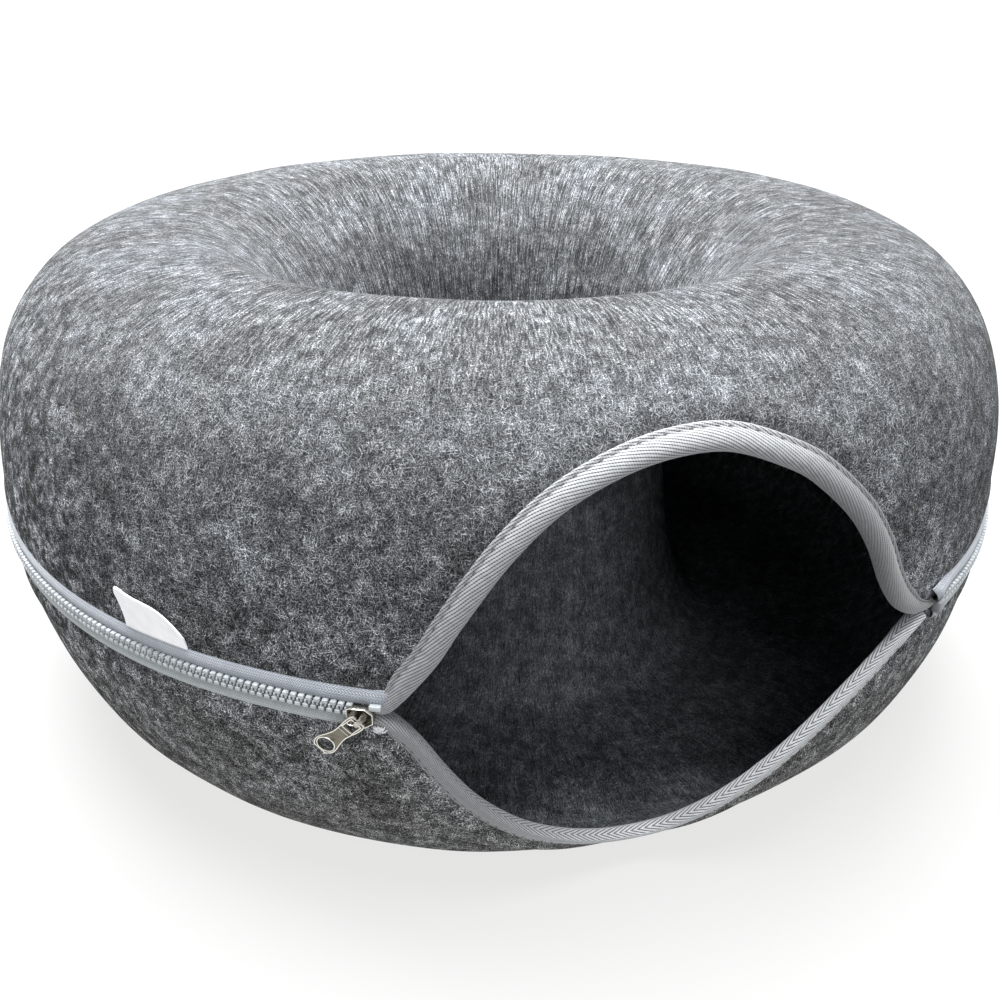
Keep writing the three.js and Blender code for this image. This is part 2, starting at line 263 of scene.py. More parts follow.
# %% Rows of the felt
FELT = 4 * MM
COLUMNS, WALL_ROWS, INNER_ROWS = 480, 34, 30


def felt_columns(turns, length, climb, wall_end, edge, seam):
    """Distance along the section of each row, for every turn, from the sheet's own edge on."""
    start_height = np.interp(turns * ARC, edge[:, 0], edge[:, 1], left=seam, right=seam)
    wall_part = slice(0, wall_end + 1)
    start = np.interp(np.abs(start_height - WIDEST), climb[wall_part], length[wall_part])
    share = np.linspace(0, 1, WALL_ROWS + 1)
    on_wall = start[:, None] + (length[wall_end] - start)[:, None] * share
    inside = np.linspace(length[wall_end], length[-1], INNER_ROWS + 1)[1:]
    return start, np.hstack([on_wall, np.tile(inside, (len(turns), 1))])


print("felt", FELT, "m thick, in a grid of", COLUMNS, "by", WALL_ROWS + INNER_ROWS)

# %% Unevenness
DENT, SEWN_DENT, BULGE = 1.6 * MM, 0.5 * MM, 0.9 * MM
SEWN_REACH, BULGE_REACH, BULGE_WIDTH = 8 * MM, 14 * MM, 4 * MM
HELD_REACH, FREE_REACH = 6 * MM, 45 * MM
HOLE_REACH = 25 * MM
STANDS_FLAT, STANDS_CLEAR = 2 * MM, 16 * MM
NEAR_MOUTH = 45


def smooth_step(low, high, value):
    share = np.clip((value - low) / (high - low), 0, 1)
    return share * share * (3 - 2 * share)


def distance_to_edge(turns, passed, start):
    """How far each point of the sheet lies from the nearest point of its outer edge."""
    mouth = np.abs(turns) < NEAR_MOUTH
    edge = np.column_stack([turns, start / ARC])[mouth] * ARC
    nearest = passed - start[:, None]
    for column in np.flatnonzero(mouth):
        here = np.column_stack([np.full(passed.shape[1], turns[column] * ARC), passed[column]])
        nearest[column] = np.linalg.norm(here[:, None] - edge[None], axis=2).min(axis=1)
    return nearest


def unevenness(points, nearest, far_end, height):
    """How far the felt stands off its ideal form: broad dents, and the pull of the sewing."""
    broad = DENT * np.array([
        [0.8 * noise.noise(p * 8) + 0.35 * noise.noise(p * 21 + Vector((5, 1, 3))) for p in column]
        for column in points
    ])
    pressed = -SEWN_DENT * (1 - smooth_step(0, SEWN_REACH, nearest))
    bulge = BULGE * np.exp(-((nearest - BULGE_REACH) / BULGE_WIDTH) ** 2)
    free = smooth_step(HELD_REACH, FREE_REACH, nearest) * smooth_step(0, HOLE_REACH, far_end)
    return (broad * free + pressed + bulge) * smooth_step(STANDS_FLAT, STANDS_CLEAR, height)


# %% One half
DRAWN_OUT, DRAWN_FROM, DRAWN_TO = 1.2, -50 * MM, 60 * MM


def felt_half(name, outer_wall, inner_wall, edge, seam, side):
    """One half of the ring as a sheet whose front columns start at the mouth's edge."""
    line = np.vstack([outer_wall, inner_wall])
    wall_end = len(outer_wall) - 1
    steps = np.linalg.norm(np.diff(line, axis=0), axis=1)
    length = np.r_[0, np.cumsum(steps)]
    slope = np.gradient(line, axis=0)
    turns = np.linspace(-180, 180, COLUMNS + 1)
    start, passed = felt_columns(
        turns, length, np.abs(line[:, 1] - WIDEST), wall_end, edge, seam)
    radius, height, run, rise = (np.interp(passed, length, part) for part in (*line.T, *slope.T))

    points = [
        [on_ring(turn, *at) for at in zip(*column)] for turn, *column in zip(turns, radius, height)]
    off = unevenness(points, distance_to_edge(turns, passed, start), length[-1] - passed, height)
    print(name, "uneven by", round(np.abs(off).max(), 5), "m at most")
    off *= side / np.maximum(np.hypot(run, rise), 1e-9)
    radius, height = radius + rise * off, height - run * off
    drawn_out = 1 + DRAWN_OUT * smooth_step(DRAWN_FROM, DRAWN_TO, length[1:] - length[wall_end])
    flat = np.interp(passed, length, np.r_[0, np.cumsum(steps / drawn_out)])

    bm = grid_cloth(
        COLUMNS, passed.shape[1] - 1,
        place=lambda i, j: on_ring(turns[i], radius[i, j], height[i, j]),
        flat_place=lambda i, j: (turns[i] * ARC, flat[i, j]))
    bmesh.ops.remove_doubles(bm, verts=bm.verts, dist=0.001 * MM)
    return finished_mesh(name, bm, Vector((0, 0, side)), lambda face: abs(face.normal.z))


# %% Both halves
across_base = np.vstack([(BASE_INNER, 0.0), core[1:]])
upper_felt = thicken(
    felt_half("upper_felt", shoulder, funnel[1:], arch, UPPER_SEAM, 1), FELT, own_back=True)
lower_felt = thicken(
    felt_half("lower_felt", belly, across_base, lip, LOWER_SEAM, -1), FELT, own_back=True)
for felt in (upper_felt, lower_felt):
    print(felt.name, len(felt.data.polygons), "faces,", round(sheet_area(felt), 4), "m2")

# %% [markdown]
# ## Writing a finish
#
# A finish is a tree of nodes, and most of it is sums. A small class that wraps a socket and knows
# plus, minus and times lets the sums be read as sums, and each operator adds its Math node. Every
# other node comes from one method: its settings are set first, because they may change which
# sockets it has, and then its sockets get values or links.

# %% Sockets as values
class Wire:
    """A socket that can be part of a Python sum."""

    def __init__(self, finish, socket):
        self.finish, self.socket = finish, socket

    def math(self, operation, *values):
        return self.finish.node("ShaderNodeMath", {"operation": operation}, dict(enumerate(values)))

    def __add__(self, other):
        return self.math("ADD", self, other)

    def __radd__(self, other):
        return self.math("ADD", other, self)

    def __sub__(self, other):
        return self.math("SUBTRACT", self, other)

    def __rsub__(self, other):
        return self.math("SUBTRACT", other, self)

    def __mul__(self, other):
        return self.math("MULTIPLY", self, other)

    def __rmul__(self, other):
        return self.math("MULTIPLY", other, self)

    def __abs__(self):
        return self.math("ABSOLUTE", self)

    def sine(self):
        return self.math("SINE", self)

    def between(self, low, high):
        """0 below low, 1 above high, and a smooth ramp in between."""
        return self.finish.node(
            "ShaderNodeMapRange", {"interpolation_type": "SMOOTHSTEP"},
            {"Value": self, "From Min": low, "From Max": high})


class Finish:
    """A material under construction, round its Principled shader."""

    def __init__(self, name, **constants):
        self.material = bpy.data.materials.new(name)
        self.material.use_nodes = True
        self.tree = self.material.node_tree
        self.shader = self.tree.nodes["Principled BSDF"]
        for socket, value in constants.items():
            self.feed(self.shader.inputs[socket.replace("_", " ").title()], value)

    def feed(self, socket, value):
        if isinstance(value, Wire):
            self.tree.links.new(value.socket, socket)
        else:
            socket.default_value = value

    def node(self, kind, settings=None, sockets=None, out=0):
        made = self.tree.nodes.new(kind)
        for key, value in (settings or {}).items():
            setattr(made, key, value)
        for key, value in (sockets or {}).items():
            self.feed(made.inputs[key], value)
        return Wire(self, made.outputs[out])

    def parts(self, vector):
        """The three numbers of a vector."""
        split = self.node("ShaderNodeSeparateXYZ", {}, {0: vector}).socket.node
        return [Wire(self, socket) for socket in split.outputs]

    def mix(self, factor, first, second):
        """One colour into another."""
        return self.node(
            "ShaderNodeMix", {"data_type": "RGBA"}, {0: factor, 6: first, 7: second}, out=2)

    def noise(self, vector, scale, detail, roughness=0.5):
        return self.node("ShaderNodeTexNoise", {}, {
            "Vector": vector, "Scale": scale, "Detail": detail, "Roughness": roughness})

    def bump(self, height, distance, strength):
        """Feed a height, in metres when full, to the shader's normal."""
        bumped = self.node("ShaderNodeBump", {}, {
            "Height": height, "Distance": distance, "Strength": strength})
        self.feed(self.shader.inputs["Normal"], bumped)


# %% [markdown]
# ## Marled felt
#
# Close up, the felt is a mat of short fibres, most of them dark and some nearly white, lying every
# way. Each direction is a layer of noise stretched some fifteen times as long as it is wide and
# bent by a slower noise, so that it breaks into short curved hairs. Five layers at different angles
# cross each other. Where the press drew the sheet over the crest and down the hole, the fibres are
# combed into long streaks towards the middle: one more layer, along the sheet, fades in there. The
# inner face is combed less, and it is painted lighter, as painted light inside the tunnel. A slow
# mottle decides where the light fibres crowd, and another tints the grey a little blue or brown;
# low down, the tint is painted shade. Above the zip a band of painted shade darkens the upper half,
# so that it looks darker there than the lower half, and at the two sides the fibres gather in
# coarser tufts, with painted shade that darkens them. The crest has painted sheen: it is paler and
# less contrasty, more so towards the back. The funnel down into the hole is painted lighter, as
# painted light. The fibres lie on the sheet's own UV map, in metres; the mottle reads Object
# coordinates.

# %% Fibres
# Each kind of fibre: its direction in degrees, its length and width, and the noise it starts at
FIBRES = [
    (8, 5.4 * MM, 0.34 * MM, 0.5), (47, 4.6 * MM, 0.3 * MM, 0.51),
    (81, 6.0 * MM, 0.34 * MM, 0.5), (118, 5.0 * MM, 0.3 * MM, 0.51),
    (153, 4.4 * MM, 0.32 * MM, 0.51),
]
FIBRE_EDGE = 0.24
CURL = 2.6 * MM


def bent_cloth(finish, cloth):
    """The cloth's own coordinates, curled a little so that what is drawn on them bends."""
    curl = finish.node("ShaderNodeVectorMath", {"operation": "SUBTRACT"}, {
        0: finish.node("ShaderNodeTexNoise", {"noise_dimensions": "2D"}, {
            "Vector": cloth, "Scale": 170.0, "Detail": 1.0}, out=1),
        1: (0.5, 0.5, 0.5)})
    return finish.node("ShaderNodeVectorMath", {"operation": "MULTIPLY_ADD"}, {
        0: curl, 1: (CURL, CURL, 0), 2: cloth})


def streak(finish, cloth, angle, length, width, detail=1.0):
    """Noise drawn out along one direction of the cloth."""
    turned = finish.node("ShaderNodeMapping", {"vector_type": "TEXTURE"}, {
        "Vector": cloth, "Rotation": (0, 0, math.radians(angle)),
        "Location": (angle * 0.013, angle * 0.007, 0), "Scale": (length, width, 1)})
    return finish.node("ShaderNodeTexNoise", {"noise_dimensions": "2D"}, {
        "Vector": turned, "Scale": 1.0, "Detail": detail, "Roughness": 0.6})


def felt_hairs(finish, cloth):
    """Short curved hairs that lie every way, as a mask."""
    hairs = None
    for angle, length, width, low in FIBRES:
        layer = streak(finish, cloth, angle, length, width).between(low, low + FIBRE_EDGE)
        hairs = layer if hairs is None else hairs.math("MAXIMUM", hairs, layer)
    return hairs


print("felt fibres in", len(FIBRES), "directions")

# %% Felt finish
# Where the look changes, in metres: up the wall, out from the axis, front to back, and to a side
# The first two ranges hold a band of painted shade above the zip, the third painted sheen on the
# crest, the fourth the painted shade tint low down
SHADE_BAND_RISES, SHADE_BAND_FADES, PAINTED_SHEEN, SHADE_TINT_FADES = (0.1, 0.112), (0.15, 0.215), (0.12, 0.22), (0.02, 0.15)
COMBED, LIT_FUNNEL = (0.18, 0.25), (0.085, 0.16)
BEHIND, SHADED_SIDES = (-0.12, 0.14), (0.17, 0.25)
COOL_GREY, DARKEST = (0.875, 0.927, 1, 1), (0.002, 0.002, 0.002, 1)


def felt_finish(name, lightness, low_shade_tint, contrast, combing=1.0):
    """Marled felt: each step of growth doubles how much of the light fibre shows."""
    finish = Finish(name, roughness=0.95)
    finish.feed(finish.shader.inputs["Specular IOR Level"], 0.03)
    place = finish.node("ShaderNodeTexCoord", out=3)
    cloth = bent_cloth(finish, finish.node("ShaderNodeUVMap", {"uv_map": "cloth"}))
    hairs = felt_hairs(finish, cloth)
    speck = finish.node("ShaderNodeTexNoise", {"noise_dimensions": "2D"}, {
        "Vector": cloth, "Scale": 1500.0, "Detail": 2.0, "Roughness": 0.7}).between(0.3, 0.7)
    clumps = finish.noise(place, 150.0, 3.0, 0.6).between(0.25, 0.75)
    tufts = finish.noise(place, 400.0, 2.0).between(0.3, 0.7)
    broad = finish.noise(place, 28.0, 2.0).between(0.25, 0.75)
    aside, back, height = finish.parts(place)
    side, behind, wear_and_sheen = abs(aside).between(*SHADED_SIDES), back.between(*BEHIND), height.between(*PAINTED_SHEEN)
    # painted shade: a band above the zip is darker
    shade_above_zip = height.between(*SHADE_BAND_RISES) * (1.0 - height.between(*SHADE_BAND_FADES))
    from_axis = finish.node("ShaderNodeVectorMath", {"operation": "MULTIPLY_ADD"}, {
        0: place, 1: (1, 1, 0), 2: (0, -AXIS_Y, 0)})
    radius = finish.node("ShaderNodeVectorMath", {"operation": "LENGTH"}, {0: from_axis}, out=1)
    drawn = combing * (1.0 - radius.between(*COMBED))
    combed = streak(finish, cloth, 90, 9 * MM, 1.2 * MM, 2.0).between(0.32, 0.68)
    # painted light: the funnel down into the hole is lighter
    lit_funnel = 1.0 - radius.between(*LIT_FUNNEL)
    fibres = (
        hairs * (4.3 - 1.4 * drawn) + combed * drawn * 2.8 + speck * 2.8
        + clumps * (2.1 - 0.5 * wear_and_sheen) + broad * 0.8
        # at the two sides: coarser tufts, and painted shade that darkens the felt
        + (clumps * 1.8 + tufts * 2.0 - 2.2) * side)
    # painted sheen: the crest is paler and less contrasty, more so towards the back
    growth = (fibres - 4.3 - 0.7 * drawn + 0.2 * wear_and_sheen) * (contrast - wear_and_sheen * 0.25)
    growth = growth + wear_and_sheen * (0.02 + 0.3 * behind) - shade_above_zip * 0.34 + lit_funnel * 0.42 - 1.0
    amount = lightness * growth.math("POWER", 2.0, growth)
    # low down on the ring, the tint is painted shade
    tint = finish.mix(broad * 0.4 + height.between(*SHADE_TINT_FADES) * 0.6, low_shade_tint, COOL_GREY)
    finish.feed(finish.shader.inputs["Base Color"], finish.mix(
        amount.math("MINIMUM", amount, 1.0), DARKEST, tint))
    finish.bump(hairs * 0.5 + combed * drawn * 0.4 + speck * 0.2, 0.22 * MM, 0.6)
    return finish.material


# The third value is the painted shade tint low down: browner and darker outside, bluer inside
marled_felt = felt_finish("marled_felt", 0.08, (0.88, 0.875, 0.85, 1), 0.96)
# the inner face is the same felt, painted lighter as painted light inside the tunnel
inner_felt_painted_light = felt_finish("inner_felt_painted_light", 0.13, (0.85, 0.93, 1, 1), 0.6, combing=0.3)
print("felt finishes:", marled_felt.name, "and", inner_felt_painted_light.name)


def settle(piece, material, slot, *nodes, back=None):
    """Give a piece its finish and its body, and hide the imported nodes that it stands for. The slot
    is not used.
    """
    for finish in filter(None, (material, back)):
        piece.data.materials.append(finish)
    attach(piece, "root")
    if nodes:
        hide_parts(*nodes)
    return piece


settle(upper_felt, marled_felt, "felt", "upper_shell", back=inner_felt_painted_light)
settle(lower_felt, marled_felt, "felt", "lower_shell", back=inner_felt_painted_light)
for felt in (upper_felt, lower_felt):
    round(sheet_area(felt), 3)

# %% [markdown]
# ## Bound edges
#
# A twill tape is folded over the felt's raw edge all round the mouth, and sewn through both of its
# legs. The sewing pulls a groove along the tape, and between the groove and the fold the tape
# stands round and full. At the corners of the mouth each tape turns along the zip, narrows and
# goes under the zip's own tape. Its grid counts stations along the edge, and points across the
# folded section.

# %% Folded tape
# Section of the binding: distance in from the felt's edge, distance out of the felt's face
FOLD_OUTSIDE = [
    (7.9, 0.1), (7.5, 0.55), (7.0, 0.7), (6.5, 0.45), (6.1, 0.25), (5.6, 0.5), (4.2, 1.2),
    (2.0, 1.6), (-0.4, 1.4), (-1.9, 0.2), (-2.4, -2.25),
]
FOLD_MIDDLE = -2.25
GROOVE = 6.1 * MM
BINDING_CLOTH = 0.6 * MM
STATIONS, FOLD_STEPS = 180, 36
NARROWEST = 0.25

fold_points = FOLD_OUTSIDE + [(x, 2 * FOLD_MIDDLE - out) for x, out in FOLD_OUTSIDE[-2::-1]]
fold = evenly(through(np.array(fold_points) * MM), FOLD_STEPS + 1)
fold_length = np.linalg.norm(np.diff(fold, axis=0), axis=1).sum()


class EdgePath:
    """Even stations along an edge of the mouth, with the way into the felt at each. The tape is
    narrow at its ends, and a plump tape stands prouder of the felt than a flat one."""

    def __init__(self, edge, felt_side, taper, full_width, plump):
        line = evenly(edge, STATIONS + 1)
        self.points = [raised(along / ARC, height, 0) for along, height in line]
        self.length = sum((b - a).length for a, b in zip(self.points, self.points[1:]))
        self.into_felt = []
        for i, (along, height) in enumerate(line):
            ahead = self.points[min(i + 1, STATIONS)] - self.points[max(i - 1, 0)]
            normal = wall_normal(height)
            out = on_ring(along / ARC, normal.x, normal.y) - on_ring(0, 0, 0)
            self.into_felt.append(out.cross(ahead).normalized() * felt_side)
        from_end = np.linspace(0, self.length, STATIONS + 1)
        from_end = np.minimum(from_end, self.length - from_end)
        self.width = NARROWEST + (full_width - NARROWEST) * smooth_step(0, taper, from_end)
        self.plump = 1 + (plump - 1) * smooth_step(0.4 * taper, 1.4 * taper, from_end)

    def place(self, station, inwards, out):
        """A point beside the edge: a way into the felt along its face, and a way out of it."""
        reach = inwards * (self.width if inwards > 0 else self.plump)[station]
        proud = max(out, 0) + min(out - 2 * FOLD_MIDDLE * MM, 0)
        foot = self.points[station] + self.into_felt[station] * reach
        turn = math.degrees(math.atan2(foot.x, AXIS_Y - foot.y))
        return raised(turn, foot.z, out + (self.plump[station] - 1) * proud)


arch_path = EdgePath(mouth_edge(
    [(-26.6, 108.6), (-25.4, 108.7), (-24.2, 110.6)] + ARCH_POINTS[1:-1]
    + [(28, 109), (29.6, 108.2)]), felt_side=1, taper=26 * MM, full_width=1.0, plump=1.0)
lip_path = EdgePath(mouth_edge(
    [(-26.4, 104.4), (-25.1, 103.8), (-23.8, 100.9)] + LIP_POINTS[1:]),
    felt_side=-1, taper=16 * MM, full_width=0.6, plump=0.45)


def facing(near, outward):
    """Ranks faces close to a point by how plainly they look along a direction or against it."""
    def rank(face):
        return abs(face.normal.dot(outward)) - 40 * (face.calc_center_median() - near).length

    return rank


def bound_edge(name, path, way):
    """A folded tape along an edge; way says which end of the tape its weave starts from."""
    bm = grid_cloth(
        STATIONS, FOLD_STEPS,
        place=lambda i, j: path.place(i, *fold[j]),
        flat_place=lambda i, j: (way * path.length * i / STATIONS, fold_length * j / FOLD_STEPS))
    middle = path.points[STATIONS // 2]
    outward = Vector((middle.x, middle.y - AXIS_Y, 0)).normalized()
    return thicken(finished_mesh(name, bm, outward, facing(middle, outward)), BINDING_CLOTH)


upper_tape_edge = bound_edge("upper_binding_cloth", arch_path, 1)
lower_tape_edge = bound_edge("lower_binding_cloth", lip_path, -1)
print("binding", round(fold_length, 4), "m wide,", round(arch_path.length, 4), "and",
      round(lip_path.length, 4), "m long")

# %% [markdown]
# The binding is a herringbone twill: raised ribs cross it at a slant, and the slant turns round at
# the tape's middle, which is just where it is folded. With the UVs in metres, the ribs are a sine
# of the distance across them, and the distance from the middle gives the turn for nothing. The
# ribs are light and a little shiny, and the valleys between them are dark, with a dot of yarn at
# each crossing. The lip's tape is the same twill as the arch's, painted lighter, as painted light.
# Both have painted shade that darkens them towards one end.

# %% Twill finish
RIB_PITCH, RIB_SLANT, YARN_PITCH = 1.1 * MM, math.radians(19), 0.95 * MM
RIB_WANDER = 0.8 * MM
# The last colour is painted shade, towards one end of each tape
VALLEY, YARN_DOT, SHADED_TWILL = (0.03, 0.031, 0.034, 1), (0.13, 0.134, 0.14, 1), (0.06, 0.062, 0.066, 1)


def twill_finish(name, dull, bright, lit_from, shaded_at):
    """Twill with painted shade, darker from a lit place to a shaded one, counted in metres to the
    right.
    """
    finish = Finish(name, roughness=0.62, sheen_weight=0.25, sheen_roughness=0.4)
    finish.feed(finish.shader.inputs["Specular IOR Level"], 0.35)
    cloth = finish.node("ShaderNodeUVMap", {"uv_map": "cloth"})
    along, across, _ = finish.parts(cloth)
    from_fold = abs(across - fold_length / 2)
    wander = finish.noise(cloth, 90.0, 1.0) * RIB_WANDER
    step = from_fold * math.cos(RIB_SLANT) + along * math.sin(RIB_SLANT) + wander
    rib = (step * (2 * math.pi / RIB_PITCH)).sine() * 0.5 + 0.5
    yarn = (along * (2 * math.pi / YARN_PITCH)).sine() * 0.5 + 0.5
    crown = rib.between(0.06, 0.56)
    worn = finish.noise(cloth, 400.0, 2.0).between(0.3, 0.75)
    to_right = finish.parts(finish.node("ShaderNodeTexCoord", out=3))[0]
    # painted shade: darker towards one end of each tape
    painted_shade = to_right.between(lit_from, shaded_at) * 0.6
    light = finish.mix(painted_shade, finish.mix(worn * 0.6 + yarn * 0.4, dull, bright), SHADED_TWILL)
    valley = finish.mix(yarn.between(0.3, 0.8), VALLEY, YARN_DOT)
    finish.feed(finish.shader.inputs["Base Color"], finish.mix(crown, valley, light))
    finish.bump(crown * 0.8 + yarn * 0.2, 0.16 * MM, 0.7)
    return finish.material


grey_twill = twill_finish(
    "grey_twill", (0.203, 0.211, 0.219, 1), (0.313, 0.323, 0.333, 1), lit_from=0.02, shaded_at=0.085)
# the lip's tape is the same twill, painted lighter as painted light
twill_painted_light = twill_finish(
    "twill_painted_light", (0.4, 0.413, 0.43, 1), (0.57, 0.587, 0.607, 1), lit_from=0.0, shaded_at=-0.08)
for piece, path, twill, node, felt in (
        (upper_tape_edge, arch_path, grey_twill, "upper_binding", "upper_felt"),
        (lower_tape_edge, lip_path, twill_painted_light, "lower_binding", "lower_felt")):
    settle(piece, twill, "binding", node)
    round(sheet_area(piece) / path.length, 4)
print("ribs every", RIB_PITCH, "m")

# %% [markdown]
# ## Zip tapes
#
# A woven tape runs along each half at the zip. The upper one lies on the felt and rounds over a
# little, because the felt pushes it up from behind. The lower one shows only a narrow strip before
# it goes in behind the felt's edge. The zip is sewn in by hand and eye, so its line isn't quite
# level: it rides up a little at the left of the mouth.

# %% Zip tapes
TAPE_TURNS = (30.2, 334.9)
TAPE_STEPS, TAPE_ACROSS = 300, 14
TAPE_CLOTH = 0.5 * MM
NEAR_CUT, FAR_CUT = 4, 6
RIDES_UP, RISES, FALLS = 2.7 * MM, (-15, -38), (-160, -110)

# Across each tape: distance from the zip's middle line, distance out of the felt
UPPER_TAPE = [
    (0.4, 0.1), (2.0, 0.3), (3.2, 0.75), (4.6, 1.15), (6.0, 1.25), (7.8, 0.95), (9.0, 0.4),
    (9.8, -0.1), (10.4, -0.7),
]
LOWER_TAPE = [
    (0.2, 0.0), (-1.8, 0.2), (-3.0, 0.6), (-4.4, 1.1), (-6.6, 1.2), (-7.8, 0.3), (-8.3, -0.7),
    (-10.8, -1.2),
]


def zip_height(turn):
    """Height of the zip's middle line at a turn."""
    left = (turn + 180) % 360 - 180
    return SEAM + RIDES_UP * smooth_step(*RISES, left) * smooth_step(*FALLS, left)


def zip_tape(name, section, far_slant, near_slant, lift):
    """A tape along the zip: slants cut its ends, and a lift stands its right-hand end off."""
    turns = np.linspace(*TAPE_TURNS, TAPE_STEPS + 1)
    across = evenly(through(np.array(section) * MM), TAPE_ACROSS + 1)
    width = np.linalg.norm(np.diff(across, axis=0), axis=1).sum()
    near = smooth_step(TAPE_TURNS[0] + NEAR_CUT, TAPE_TURNS[0], turns)
    far = smooth_step(TAPE_TURNS[1] - FAR_CUT, TAPE_TURNS[1], turns)
    slant = (near * near_slant + far * far_slant) / ARC

    def place(i, j):
        rise, out = across[j]
        turn = turns[i] + slant[i] * abs(rise)
        return raised(turn, zip_height(turns[i]) + rise, out + lift * near[i])

    bm = grid_cloth(
        TAPE_STEPS, TAPE_ACROSS, place,
        flat_place=lambda i, j: ((turns[i] - turns[0]) * ARC, width * j / TAPE_ACROSS))
    behind = Vector((0, 1, 0))
    back = raised(180, SEAM + across[TAPE_ACROSS // 2][0], 0)
    return thicken(finished_mesh(name, bm, behind, facing(back, behind)), TAPE_CLOTH)


upper_zip_tape = zip_tape(
    "upper_zip_tape", UPPER_TAPE, far_slant=0.55, near_slant=-0.7, lift=2.0 * MM)
lower_zip_tape = zip_tape(
    "lower_zip_tape", LOWER_TAPE, far_slant=-0.8, near_slant=0.0, lift=0.0)
tape_length = (TAPE_TURNS[1] - TAPE_TURNS[0]) * ARC
print("zip tapes", round(tape_length, 3), "m long")

# %% [markdown]
# The tape is woven in a fine herringbone of small Vs, which catch the light as rows of bright
# stitches. Its finish is two sines: one slanted across each narrow row of Vs, and one that dips
# between the rows. They are painted brighter on the upper part, as painted light where it tilts up
# to the light. The edge that the teeth grip is painted dark, as painted shade between the teeth.

# %% Tape finish
ROW_WIDTH, V_PITCH, V_SLANT = 2.2 * MM, 1.05 * MM, 1.1
# Painted shade along the edge that the teeth grip, and the width of its soft edge
SHADE_AT_TEETH, SHADE_AT_TEETH_EDGE = (0.05, 0.055, 0.06, 1), 0.3 * MM
# Across the tape, where its rows are painted brighter, as painted light on the part that tilts up
TILTS_UP = (4.0 * MM, 6.5 * MM)


def tape_finish(name, shaded_width, dark, light):
    """Woven tape with painted shade of some width along the edge that the teeth grip."""
    finish = Finish(name, roughness=0.7, sheen_weight=0.2, sheen_roughness=0.4)
    finish.feed(finish.shader.inputs["Specular IOR Level"], 0.3)
    cloth = finish.node("ShaderNodeUVMap", {"uv_map": "cloth"})
    along, across, _ = finish.parts(cloth)
    rows = across.math("PINGPONG", across, ROW_WIDTH / 2)
    v_line = ((along + rows * V_SLANT) * (2 * math.pi / V_PITCH)).sine() * 0.5 + 0.5
    ridge = (rows * (math.pi / (ROW_WIDTH / 2))).sine()
    weave = v_line * (0.35 + 0.65 * ridge)
    worn = finish.noise(cloth, 300.0, 2.0).between(0.3, 0.7)
    high = across.between(*TILTS_UP)
    # painted light: the rows are brighter on the upper part
    woven = finish.mix(weave * (0.3 + 0.3 * worn + 0.4 * high), dark, light)
    # painted shade along the edge that the teeth grip
    past_shade = across.between(shaded_width, shaded_width + SHADE_AT_TEETH_EDGE)
    finish.feed(finish.shader.inputs["Base Color"], finish.mix(past_shade, SHADE_AT_TEETH, woven))
    finish.bump(weave, 0.3 * MM, 0.7)
    return finish.material


upper_weave = tape_finish(
    "upper_weave", 2.6 * MM, (0.2, 0.219, 0.253, 1), (0.51, 0.535, 0.577, 1))
lower_weave = tape_finish(
    "lower_weave", 3.0 * MM, (0.24, 0.263, 0.268, 1), (0.55, 0.587, 0.597, 1))
for piece, weave, node, felt in (
        (upper_zip_tape, upper_weave, "zip_tape_upper", "upper_felt"),
        (lower_zip_tape, lower_weave, "zip_tape_lower", "lower_felt")):
    settle(piece, weave, "zip_tape", node)
    round(sheet_area(piece) / tape_length, 4)
print("tape finish on 2 tapes")

# %% [markdown]
# ## Zip teeth
#
# The teeth are moulded plastic. Each has a square block that grips the tape's edge and a narrower
# head that reaches past the middle, where it sits between two heads of the other row. One tooth is
# a bevelled cube with a smaller one in front. Hundreds are needed, so it keeps to a few dozen
# faces, and copies of it go into one mesh, each moved to its place on the zip's line.

# %% One tooth
def soft_block(bm, low, high, edge, segments=1):
    """A bevelled box between two corners, in millimetres."""
    low, high = Vector(low) * MM, Vector(high) * MM
    size = high - low
    place = Matrix.Translation((low + high) / 2) @ Matrix.Diagonal((*size, 1))
    made = bmesh.ops.create_cube(bm, size=1, matrix=place)["verts"]
    edges = list({e for v in made for e in v.link_edges})
    bmesh.ops.bevel(
        bm, geom=edges, offset=edge * MM, offset_type="OFFSET", affect="EDGES", segments=segments,
        profile=0.5, material=-1)


tooth = bmesh.new()
soft_block(tooth, (-1.12, 0.8, 0.2), (1.12, 2.5, 2.4), 0.3)
soft_block(tooth, (-0.45, -0.7, 0.3), (0.45, 0.9, 2.1), 0.25)
print("tooth", len(tooth.faces), "faces")

# %% Two rows of teeth
PITCH = 3.05 * MM
CHAIN_TURNS = (31.2, 332.9)
CHAIN_RISE = 0.6 * MM
HALF_TURN = Matrix.Rotation(math.pi, 4, "Z")


def zip_frame(turn, rise=0.0):
    """Matrix of a place on the zip: X along it, Y up, Z straight out of the wall."""
    height = zip_height(turn) + rise
    normal = wall_normal(height)
    out = (on_ring(turn, normal.x, normal.y) - on_ring(0, 0, 0)).normalized()
    right = Vector((0, 0, 1)).cross(out).normalized()
    up = out.cross(right)
    turned = Matrix((right, up, out)).transposed().to_4x4()
    return Matrix.Translation(raised(turn, height, 0)) @ turned


def copies(one, places):
    """Copies of one small bmesh, each at its own place, joined in one."""
    mesh = bpy.data.meshes.new("one")
    one.to_mesh(mesh)
    joined = bmesh.new()
    for place in places:
        copy = mesh.copy()
        copy.transform(place)
        joined.from_mesh(copy)
        bpy.data.meshes.remove(copy)
    bpy.data.meshes.remove(mesh)
    return joined


def tooth_row(name, first_turn, flip):
    """One row of teeth along the zip, in one mesh."""
    turns = np.arange(first_turn, CHAIN_TURNS[1], PITCH / ARC)
    row = finished_mesh(name, copies(tooth, [zip_frame(turn, CHAIN_RISE) @ flip for turn in turns]))
    row.data.shade_flat()
    print(name, len(turns), "teeth,", len(row.data.polygons), "faces")
    return row


